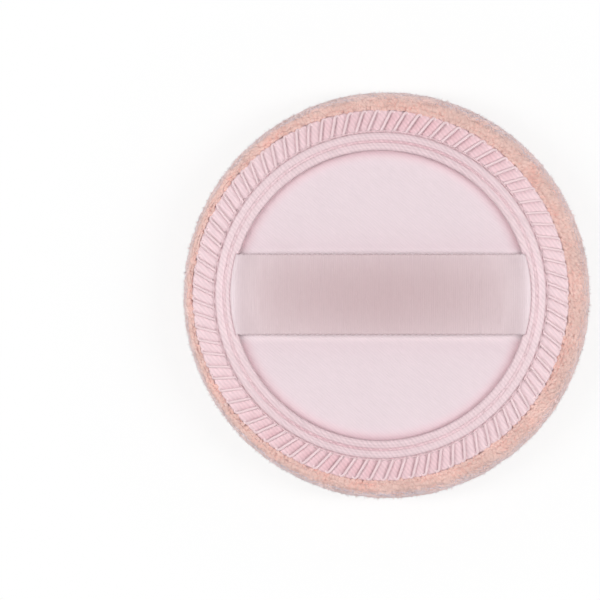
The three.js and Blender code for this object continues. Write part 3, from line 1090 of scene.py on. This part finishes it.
# %% Satin material and back
satin_sheen = (1, 0.95, 0.97, 1)
satin_colour, satin_ring_reflection_colour = (0.835, 0.70, 0.745, 1), (0.92, 0.66, 0.71, 1)
satin_ring_shadow_colour, satin_shadow_lift_colour = (0.52, 0.35, 0.39, 1), (1.0, 0.86, 0.90, 1)
satin_angle = math.radians(-50)
satin_pitch, satin_float = 0.5 * mm, 4.5 * mm

back_satin, tree, shader = cloth_material("back_satin", 0.42, 0.15, satin_sheen)
# The seam share paints a pinker reflection of the ring on the satin near it.
base = blend_colours(tree, kept(tree, "seam"), satin_colour, satin_ring_reflection_colour)
# Painted shadow of the ridge along the ring, strongest at the front and the back.
base = blend_colours(tree, kept(tree, "ring_shadow"), base, satin_ring_shadow_colour)
# Painted light beside the ribbon's sides, paler where the ribbon's shadow falls.
base = blend_colours(tree, kept(tree, "shadow_lift"), base, satin_shadow_lift_colour)
height = floats(tree, satin_angle, satin_pitch, satin_float)
colour_with_painted_relief(tree, shader, base, 110.0, 0.035, height, 0.045)
raise_bump(tree, shader, height, 0.02 * mm)

pucker_count, cross_count, pucker_wander = 61, 38, 1.7
cross_share, cross_turn = 0.6, 2
pucker_depth = 0.042 * mm
pucker_start_share = 0.72
swell_height = 0.12 * mm
ring_reflection_width, ring_reflection_power = 2.4 * mm, 1.5
ring_shadow_width, ring_shadow_share, ring_shadow_power = 0.85 * mm, 0.65, 6
shadow_lift_width = 0.9 * mm


def eased(share):
    """A share held between 0 and 1 that starts and stops softly: 3 s^2 - 2 s^3."""
    share = np.clip(share, 0, 1)
    return share * share * (3 - 2 * share)


def bell(away, width):
    """1 where away is 0, dying out over width."""
    return np.exp(-((away / width) ** 2))


def back_relief(x, y):
    """A swell of a cosine across the disc, and puckers that grow towards the ring."""
    radius, angle = np.hypot(x, y), np.arctan2(y, x)
    near = eased((radius / tape_inner - pucker_start_share) / (1 - pucker_start_share))
    near = near * (radius < tape_inner + 1 * mm)
    folds = np.sin(angle * pucker_count + pucker_wander * np.sin(3 * angle))
    folds = folds + cross_share * np.sin(angle * cross_count + cross_turn)
    swell = swell_height * np.cos(np.clip(radius / tape_inner, 0, 1) * np.pi / 2) ** 2
    return swell + pucker_depth * near * folds


back = cloth_disc("satin_back_cloth", satin_radius, satin_bottom, satin_top, back_relief, 90, 480)
places = places_of(back.data)
from_middle = np.hypot((places[:, 0] - ring_x) / ring_oval, places[:, 1])
# Painted reflection of the ring, growing towards it.
store(back, "seam", np.clip((from_middle - tape_inner + ring_reflection_width) / ring_reflection_width, 0, 1) ** ring_reflection_power)
# Painted shadow of the ridge, by direction and distance to the ring.
steepness = (places[:, 1] / np.maximum(from_middle, mm)) ** ring_shadow_power
to_ring = np.maximum(tape_inner - from_middle, 0)
store(back, "ring_shadow", ring_shadow_share * steepness * bell(to_ring, ring_shadow_width))
# Painted light along the ribbon's sides.
store(back, "shadow_lift", bell(np.abs(places[:, 1]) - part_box("finger_ribbon")[1].y, shadow_lift_width))
dress(back, back_satin, stands_for=["satin_back"])

# %% [markdown]
# ## The seam ring
#
# A bias strip of satin is folded over two cords and sewn down between them, which gives
# two round ridges and a ditch. Its outer margin lies flat under an overlock stitch. The
# stitch pulls it into cells: high between the threads, low under them, with a small
# scallop at the edge. No two cells swell quite alike. The whole strip is one closed
# profile carried round the ring. How far a point is through its stitch depends on its
# direction, and on how far out it lies, because the stitches slant.

# %% Stitch geometry
stitch_count = 84
foot_share, slant_share = 0.05, 0.67
groove_place, slit_place = 0.22, 0.32
band_sag = 0.35 * mm


def stitch_place(angle, out):
    """A point's place round the ring in stitches, clockwise, counted from the slanting
    threads; out is its share of the way from the needle line to the edge."""
    return -angle * stitch_count / (2 * np.pi) - foot_share - slant_share * out


def stitch_phase(angle, out):
    """Where a point lies in its stitch, 0 to 1."""
    return stitch_place(angle, out) % 1.0


def dip(phase, centre, width):
    """A round dip of 1 at centre that dies out over width, on a count that wraps at 1."""
    return bell(np.abs((phase - centre + 0.5) % 1.0 - 0.5), width)


# %% The tape
tape_columns = stitch_count * 10
band_steps, arch_steps = 16, 24
cell_puff, cell_least = 0.24 * mm, 0.35
groove_depth, groove_least = 0.14 * mm, 0.15
thread_press, press_least = 0.12 * mm, 0.35
slit_depth, slit_least = 0.34 * mm, 0.5
scallop_depth, scallop_middle = 0.2 * mm, 0.6
cell_shade_least, line_shade_least = 0.1, 0.15
thread_width, groove_width, slit_width, slit_reach = 0.13, 0.075, 0.24, 0.12
cell_power, between_power = 0.6, 0.5
between_span, between_start, groove_fade = 0.86, 0.07, 0.5
uneven_shares, uneven_steps = (0.16, 0.12), (2.4, 0.9)
ditch_rise, ditch_width = 0.48 * mm, 0.12 * mm
ditch_ease = 0.3 * mm
deep_angle, deep_power = math.radians(16), 4
rib_height = 0.035 * mm
rib_lines, rib_shade_share = 4, 0.3
ripple_height, ripple_turn = 0.03 * mm, 0.8
arch_power = 2.3
arch_start, ditch_side, arch_end = 0.12, 0.4, 0.02
under_steps, under_start, under_stop = 8, 0.93 * np.pi, 0.07 * np.pi
under_lift, needle_side, edge_side = 0.6, 0.1 * mm, 0.35 * mm
ribbon_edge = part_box("finger_ribbon")[1].y + 0.4 * mm
hem_ease, hem_gap = 1.2 * mm, 0.09 * mm


def arch(centre, start, end, steps):
    """Half a superellipse over a cord: radius centre + w cos^(2/p), height w sin^(2/p),
    with fine ribs. Where it ends level with the cord's middle, it comes down to its foot."""
    turn = np.linspace(start, end, steps)
    cosine, sine = np.cos(turn), np.sin(turn)
    radius = centre + ridge_half * np.sign(cosine) * np.abs(cosine) ** (2 / arch_power)
    height = ridge_half * np.abs(sine) ** (2 / arch_power)
    ribs = rib_height * np.cos(rib_lines * 2 * turn) * np.abs(sine)
    drop = cord_radius * (np.abs(sine) < arch_end)
    return radius, tape_bottom + cord_radius + height + ribs - drop


def at_least(least, deep):
    """How strongly an effect shows: fully where deep is 1, by its least share where it is 0."""
    return least + (1 - least) * deep


def margin_relief(angle, out, deep):
    """The overlocked margin at each direction and share out: its height over the plain cloth,
    the swell of its cells, their painted shade, and the painted shade of its grooves and slits."""
    phase = stitch_phase(angle, out)
    thread = dip(phase, 0.0, thread_width)
    cell = (0.5 - 0.5 * np.cos(2 * np.pi * phase)) ** cell_power
    between = np.sin(np.pi * np.clip(out * between_span + between_start, 0, 1)) ** between_power
    groove = dip(phase, groove_place, groove_width) * between * (1 - groove_fade * out)
    slit = dip(stitch_phase(angle, 0.0), slit_place, slit_width) * bell(out, slit_reach)
    number = np.floor(stitch_place(angle, out)) % stitch_count
    uneven = 1 + uneven_shares[0] * np.sin(number * uneven_steps[0] + 1)
    uneven = uneven + uneven_shares[1] * np.sin(number * uneven_steps[1])
    relief = (
        cell_puff * cell * between * uneven * at_least(cell_least, deep)
        - groove_depth * groove * at_least(groove_least, deep)
        - slit_depth * slit * at_least(slit_least, deep)
        - thread_press * thread * between * at_least(press_least, deep)
        - band_sag * out**2
    )
    # Painted shade in the cells between the threads.
    cell_shade = cell * between * (1 - thread) * uneven * at_least(cell_shade_least, deep)
    return relief, cell, cell_shade, np.maximum(groove, slit)


def tape_top(angle):
    """Rows of radius and height of the tape's upper side, from its edge to its inner end, the
    painted shade of its cells, and the painted shade in its grooves, slits, ditch and ribs.
    Past the ribbon's sides, the inner end comes down to the satin. deep is the fourth power
    of the sine of the direction: relief and painted shade are strongest front and back."""
    deep = np.sin(angle + deep_angle)[None, :] ** deep_power
    out = np.linspace(1, 0, band_steps)[:, None]
    relief, cell, cell_shade, cut_shade = margin_relief(angle[None, :], out, deep)
    scallop = scallop_depth * (cell - scallop_middle) * out**3
    band_radius = needle_radius + (tape_radius - needle_radius) * out + scallop
    first_radius, first_height = arch(outer_ridge, arch_start, np.pi - ditch_side, arch_steps)
    second_radius, second_height = arch(inner_ridge, ditch_side, np.pi, arch_steps)
    rows_radius = np.concatenate([first_radius, [ditch_radius], second_radius])[:, None]
    rows_height = np.concatenate([first_height, [tape_bottom + ditch_rise], second_height])[:, None]
    in_ditch = bell(rows_radius - ditch_radius, ditch_width)
    # Painted shade in the ditch and between the ribs.
    shade_between_ribs = 0.5 - 0.5 * np.cos(rib_lines * 2 * np.linspace(0, np.pi, arch_steps))
    ribs = rib_shade_share * np.concatenate([shade_between_ribs, [0], shade_between_ribs])[:, None]
    on_cord = rows_height > tape_bottom + cord_radius
    ripple = ripple_height * np.sin(angle * stitch_count + ripple_turn)[None, :] * on_cord
    ripple = ripple + ditch_ease * (1 - deep) * in_ditch
    columns = np.ones((1, len(angle)))
    radius = np.concatenate([band_radius, rows_radius * columns])
    height = np.concatenate([tape_bottom + tape_cloth + relief, rows_height + ripple])
    free = eased((np.abs(tape_inner * np.sin(angle)) - ribbon_edge) / hem_ease)
    height[-1] -= (tape_bottom - satin_top - hem_gap) * free
    cells = np.concatenate([cell_shade, 0 * rows_radius * columns])
    lines = np.concatenate([cut_shade, np.maximum(in_ditch, ribs) * columns])
    return radius, height, cells, lines * at_least(line_shade_least, deep)


def tape_strip():
    """The upper side, then a plainer underside from the inner end back out to the edge."""
    angle = np.linspace(0, 2 * np.pi, tape_columns, endpoint=False)
    radius, height, cells, lines = tape_top(angle)
    turn = np.linspace(under_start, under_stop, under_steps)
    across, up = (ridge_half - tape_cloth) * np.cos(turn), (ridge_half - tape_cloth) * np.sin(turn)
    up += tape_bottom + cord_radius * under_lift
    margin = [needle_radius + needle_side, tape_radius - edge_side]
    below_radius = np.concatenate([inner_ridge + across, outer_ridge + across, margin])
    below_height = np.concatenate([up, up, [tape_bottom, tape_bottom - band_sag]])
    columns = np.ones((1, len(angle)))
    grid = ring_points(
        np.concatenate([radius, below_radius[:, None] * columns]),
        np.concatenate([height, below_height[:, None] * columns]),
        angle,
    )
    faces = ring_quads(len(grid), tape_columns, True)
    strip = mesh_of("binding_tape_cloth", grid.reshape(-1, 3), faces)
    for name, values in (("cell", cells), ("line", lines)):
        store(strip, name, np.concatenate([values, np.zeros((len(below_radius), tape_columns))]))
    return strip


# The cell colour is painted shade in the stitch's cells.
tape_colour, tape_cell_shade_colour = (0.87, 0.68, 0.715, 1), (0.82, 0.525, 0.565, 1)
# Painted shade in grooves, slits, the ditch and between the ribs.
tape_groove_shade_colour = (0.64, 0.41, 0.45, 1)
tape_angle, tape_pitch, tape_float = math.radians(-40), 0.7 * mm, 2.4 * mm
tape_material, tree, shader = cloth_material("tape_satin", 0.42, 0.15, satin_sheen)
base = blend_colours(tree, kept(tree, "cell"), tape_colour, tape_cell_shade_colour)
base = blend_colours(tree, kept(tree, "line"), base, tape_groove_shade_colour)
height = floats(tree, tape_angle, tape_pitch, tape_float)
colour_with_painted_relief(tree, shader, base, 420.0, 0.08, height, 0.12)
raise_bump(tree, shader, height, 0.03 * mm)

tape = dress(tape_strip(), tape_material, stands_for=["binding_tape"])

# %% [markdown]
# ## Threads and cords
#
# A thread is a tube along a path. A plain tube looks like wire, so its section has the
# outline of two plies that touch, and it turns as it goes. The mesh keeps the way along
# and round the yarn for the fine twist in the material. The overlock thread repeats one
# loop of listed places 84 times: a foot on the needle line, a slanting leg on top, a
# turn round the edge, and a tight way back in the groove.

# %% Yarn material
def yarn_material(name, colour, plies, turns, depth, roughness=0.6):
    """Twisted yarn, with painted shade in the grooves between its fibres and painted light where they
    rise.
    """
    material, tree, shader = cloth_material(name, roughness, 0.25)
    wound = placed(tree, twist, Along=kept(tree, "along"), Around=kept(tree, "around"),
                   Plies=float(plies), Turns=turns)
    colour_with_painted_relief(tree, shader, colour, 900.0, 0.10, wound.outputs["Height"], 0.05)
    raise_bump(tree, shader, wound.outputs["Height"], depth)
    return material


thread_colour, cotton_colour = (0.98, 0.76, 0.79, 1), (0.863, 0.799, 0.745, 1)
sewing_material = yarn_material("sewing_thread", thread_colour, 6, 2600.0, 0.02 * mm)
cotton_material = yarn_material("cotton_cord", cotton_colour, 9, 1200.0, 0.05 * mm, 0.9)


def closed_tube(name, path, radius, sides, plies, lay, ply_depth):
    """A closed tube along path. Its section is round, with a notch between plies that
    moves round it by one turn every lay metres."""
    ahead = unit(np.roll(path, -1, axis=0) - np.roll(path, 1, axis=0))
    across = unit(np.cross(ahead, [0.0, 0, 1]))
    lift = np.cross(across, ahead)
    steps = np.linalg.norm(np.roll(path, -1, axis=0) - path, axis=-1)
    along = np.concatenate([[0], np.cumsum(steps)[:-1]])
    length = float(steps.sum())
    turns = max(1, round(length / lay))
    around = np.linspace(0, 2 * np.pi, sides, endpoint=False)
    phase = plies * (around[None, :] - 2 * np.pi * turns * along[:, None] / length) / 2
    section = radius * (1 - ply_depth + ply_depth * np.abs(np.cos(phase)))
    grid = (
        path[:, None, :]
        + across[:, None, :] * (section * np.cos(around))[..., None]
        + lift[:, None, :] * (section * np.sin(around))[..., None]
    )
    tube = mesh_of(name, grid.reshape(-1, 3), ring_quads(len(path), sides, True))
    store(tube, "along", np.repeat(along, sides))
    store(tube, "around", np.tile(around / (2 * np.pi), len(path)))
    return tube


# %% Piping cords
def ring_path(radius, height, columns, wave=0.0, waves=0):
    """A circle round ring_x, anticlockwise, whose height may go up and down."""
    angle = np.linspace(0, 2 * np.pi, columns, endpoint=False)
    return ring_points(np.full(columns, radius), height + wave * np.cos(waves * angle), angle)


for name, radius, solid in (
    ("outer_cord_yarn", outer_ridge, "outer_piping_cord"),
    ("inner_cord_yarn", inner_ridge, "inner_piping_cord"),
):
    path = ring_path(radius, tape_bottom + cord_radius, 720)
    yarn = closed_tube(name, path, cord_radius, 12, 3, 2.4 * mm, 0.14)
    dress(yarn, cotton_material, stands_for=[solid])

# %% Overlock loops
loop_shares = np.array([
    [0.00, -0.01, 0.00],
    [0.05, 0.06, 0.60],
    [0.18, 0.22, 1.00],
    [0.36, 0.48, 1.00],
    [0.54, 0.74, 1.00],
    [0.64, 0.91, 1.00],
    [0.74, 1.02, 0.75],
    [0.87, 1.05, 0.45],
    [0.97, 0.99, 0.20],
    [0.98, 0.88, -0.20],
    [0.90, 0.70, -0.60],
    [0.82, 0.45, -0.70],
    [0.84, 0.20, -0.70],
    [0.92, 0.04, -0.50],
])
loop_sways = (0.03, 0.02)


def spans(before, start, stop, after, steps):
    """Catmull-Rom curves from start to stop, row by row, steps points to each span."""
    t = np.linspace(0, 1, steps, endpoint=False)[None, :, None]
    a, b, c, d = (places[:, None, :] for places in (before, start, stop, after))
    bend = 2 * a - 5 * b + 4 * c - d
    twist_back = 3 * b - a - 3 * c + d
    curve = 0.5 * (2 * b + (c - a) * t + bend * t**2 + twist_back * t**3)
    return curve.reshape(-1, start.shape[1])


def looper_path(shares, inner, outer, low, high, sag):
    """One stitch repeated round the ring, clockwise: share along, share out, share up.
    It sinks by sag x out^2 with the margin under it."""
    step = np.array([1.0, 0, 0])
    before = np.concatenate([shares[-1:] - step, shares[:-1]])
    stop = np.concatenate([shares[1:], shares[:1] + step])
    after = np.concatenate([shares[2:], shares[:2] + step])
    stitch = spans(before, shares, stop, after, 3)
    number = np.arange(stitch_count)[:, None]
    sway = loop_sways[0] * np.sin(number * uneven_steps[0])
    sway = sway + loop_sways[1] * np.sin(number * uneven_steps[1])
    along = (number + sway + stitch[None, :, 0]).ravel()
    angle = -2 * np.pi * along / stitch_count
    out = np.tile(stitch[:, 1], stitch_count)
    lift = np.tile(stitch[:, 2], stitch_count)
    radius = inner + (outer - inner) * out
    return ring_points(radius, low + (high - low) * lift - sag * out**2, angle)


looper_low = tape_bottom + tape_cloth * 0.6
looper_high = sum(levels("overlock_thread")) / 2
looper_edge = tape_radius - 1.5 * looper_yarn
looper_lay, looper_notch = 1.3 * mm, 0.14
path = looper_path(loop_shares, needle_radius, looper_edge, looper_low, looper_high, band_sag)
thread = closed_tube("overlock_thread_yarn", path, looper_yarn * 1.2, 8, 2, looper_lay, looper_notch)
dress(thread, sewing_material, stands_for=["overlock_thread"])

lower_shares = loop_shares * [1, 0.9, 0] + [0, 0.05, 0]
lower_middle = sum(levels("lower_looper_thread")) / 2
seam_notch = 0.2
path = looper_path(lower_shares, needle_radius, tape_radius, lower_middle, lower_middle, 0)
thread = closed_tube("lower_looper_yarn", path, lower_yarn * 0.8, 6, 2, looper_lay, seam_notch)
dress(thread, sewing_material, stands_for=["lower_looper_thread"])

# %% Needle and ditch threads
seam_lay = 1 * mm
needle_dip, ditch_dip = 0.3 * mm, 0.1 * mm
ditch_stitches = 96
needle_level = tape_bottom + tape_cloth + seam_yarn
path = ring_path(needle_radius, needle_level, stitch_count * 10, needle_dip, stitch_count)
thread = closed_tube("needle_thread_yarn", path, seam_yarn * 1.2, 6, 2, seam_lay, seam_notch)
dress(thread, sewing_material, stands_for=["needle_thread"])

turns = np.linspace(0, 2 * np.pi, ditch_stitches * 10, endpoint=False)
ditch_level = tape_bottom + ditch_rise - seam_yarn
ditch_level = ditch_level + ditch_ease * (1 - np.sin(turns + deep_angle) ** deep_power)
path = ring_path(ditch_radius, ditch_level, len(turns), ditch_dip, ditch_stitches)
thread = closed_tube("ditch_thread_yarn", path, seam_yarn, 6, 2, seam_lay, seam_notch)
dress(thread, sewing_material, stands_for=["ditch_thread"])

# %% [markdown]
# ## The finger ribbon
#
# The ribbon is one strip whose ends are sewn in under the ring. It comes out from under
# the inner ridge, bends up at once and levels out to an almost flat middle, with room
# beneath it for a fingertip. Each warp thread starts where the round edge lets it, so the
# middle of the strip rises a little further out than its selvedges, which run in tiny
# waves where the weft turns back. A fingertip can push the ribbon up by a few millimetres.

# %% Ribbon shape
ribbon_low, ribbon_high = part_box("finger_ribbon")
picot_depth, picot_pitch, picot_power = 0.1 * mm, 1.1 * mm, 24
ribbon_half = (ribbon_high.y - ribbon_low.y) / 2 - picot_depth
ribbon_aside = 0.2 * mm
ribbon_reach = (ribbon_high.x - ribbon_low.x) / 2
ribbon_inset = ribbon_cloth / 2 + 0.05 * mm
ribbon_tail = ribbon_low.z + ribbon_inset
ribbon_peak = ribbon_high.z - ribbon_inset
ribbon_crown = 0.65 * mm
ribbon_cup = 0.12 * mm
sway_height, sway_lengths = 0.06 * mm, (5.3 * mm, 6.1 * mm)
seam_hold = 8 * mm
selvedge_width = 1.3 * mm
highlight_slow_share, highlight_end_share, highlight_edge_share = 0.33, 0.67, 0.25
ramp_places = np.array([
    [-5.20, ribbon_peak / mm - ribbon_crown / mm - tape_bottom / mm],
    [-3.90, 4.45],
    [-2.60, 3.82],
    [-1.40, 2.95],
    [-0.40, 2.14],
    [0.30, 1.67],
    [0.46, 1.45],
    [0.32, 1.27],
    [0.06, 1.11],
    [-0.12, 0.80],
    [-0.20, 0.40],
    [-0.26, 0.00],
    [-0.02, -0.32],
    [0.60, -0.37],
]) * mm


def open_curve(places, steps):
    """A smooth curve through places that don't repeat, up to the last of them."""
    before = np.concatenate([2 * places[:1] - places[1:2], places[:-2]])
    after = np.concatenate([places[2:], 2 * places[-1:] - places[-2:-1]])
    curve = spans(before, places[:-1], places[1:], after, steps)
    return np.concatenate([curve, places[-1:]])


def ribbon_half_line(y):
    """Place and height of one half of the warp threads at y, from the middle of the
    ribbon: a parabola down by the crown, then the ramp, laid against the inner ridge."""
    foot = ring_oval * np.sqrt(tape_inner**2 - y**2)[None, :]
    ramp = open_curve(ramp_places, 6)
    share = np.linspace(0, 1, 110)[1:, None]
    x = [share * (foot + ramp[0, 0]), foot + ramp[1:, :1], np.full_like(foot, ribbon_reach)]
    z = [ribbon_peak - ribbon_crown * share**2, tape_bottom + ramp[1:, 1:], [[ribbon_tail]]]
    x, z = np.concatenate(x), np.concatenate(z)
    return x, z + 0 * x


def strip_faces(rows, columns):
    """Faces of a flat tube: rows of warp places, each a loop of over and under columns,
    with both ends closed across."""
    here = np.arange(rows - 1)[:, None] * columns
    column = np.arange(columns)[None, :]
    after = (column + 1) % columns
    quads = np.stack(np.broadcast_arrays(
        here + column, here + columns + column, here + columns + after, here + after), -1)
    left = np.arange(columns // 2 - 1)
    right = columns - 1 - left
    end = np.stack([left, left + 1, right - 1, right], -1)
    return np.concatenate([quads.reshape(-1, 4), end, (rows - 1) * columns + end[:, ::-1]])


def finger_strip(width_steps=49):
    """A grid of warp by weft, its upper side, and the same a cloth's thickness lower,
    closed along all four edges."""
    y = np.linspace(-ribbon_half, ribbon_half, width_steps)
    half_x, half_z = ribbon_half_line(y)
    x = np.concatenate([-half_x[::-1], np.zeros((1, width_steps)), half_x])
    z = np.concatenate([half_z[::-1], np.full((1, width_steps), ribbon_peak), half_z])
    at_edge = (np.abs(y) / ribbon_half) ** picot_power
    y = y + np.sign(y) * at_edge * picot_depth * np.sin(2 * np.pi * x / picot_pitch)
    free = np.clip((tape_inner - np.abs(x)) / seam_hold, 0, 1)
    cup = ribbon_cup * (0.5 - (y / ribbon_half) ** 2)
    sway = sway_height * np.sin(x / sway_lengths[0] + y / sway_lengths[1])
    centre = np.stack([x + ring_x, y + ribbon_aside, z + (cup + sway) * free], -1)
    up = unit(np.cross(np.gradient(centre, axis=0), np.gradient(centre, axis=1))) * ribbon_cloth / 2
    loop = np.concatenate([centre + up, (centre - up)[:, ::-1]], axis=1)
    strip = mesh_of("finger_ribbon_cloth", loop.reshape(-1, 3), strip_faces(*loop.shape[:2]))
    bead = np.clip(1 - (ribbon_half - np.abs(y)) / selvedge_width, 0, 1)
    # Painted highlight towards the ends and the selvedges, painted shade in the middle.
    far = np.minimum(np.abs(x) / (ring_oval * tape_inner), 1)
    middle = 1 - highlight_slow_share * far**2 - highlight_end_share * far**12
    middle = middle * (1 - highlight_edge_share * (y / ribbon_half) ** 2)
    for name, values in (("selvedge", bead), ("middle", middle)):
        store(strip, name, np.concatenate([values, values[:, ::-1]], axis=1))
    return strip


# The end colour is a painted highlight; the middle colour is the ribbon's own, darkened by painted
# shade.
ribbon_end_highlight_colour, ribbon_cloth_and_shade_colour = (0.93, 0.78, 0.82, 1), (0.575, 0.412, 0.432, 1)
weft_pitch, weft_float, teeth_float = 0.36 * mm, 5 * mm, 3 * mm
ribbon_material, tree, shader = cloth_material("ribbon_satin", 0.38, 0.2, satin_sheen)
height = floats(tree, 0.0, weft_pitch, weft_float)
teeth = floats(tree, 0.0, 2 * weft_pitch, teeth_float)
base = blend_colours(tree, kept(tree, "middle"), ribbon_end_highlight_colour, ribbon_cloth_and_shade_colour)
colour_with_painted_relief(tree, shader, base, 130.0, 0.05, height, 0.04)
relief = arithmetic(tree, "MULTIPLY_ADD", teeth, kept(tree, "selvedge"), height)
raise_bump(tree, shader, relief, 0.03 * mm)

ribbon = finger_strip()
dress(ribbon, ribbon_material, body=None, stands_for=["finger_ribbon"])
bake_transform(ribbon)

# %% [markdown]
# Both halves are alike, so each point's distance to the middle is worked out.

# %% Distance to the middle
from_middle = np.abs(places_of(ribbon.data)[:, 0] - ring_x)
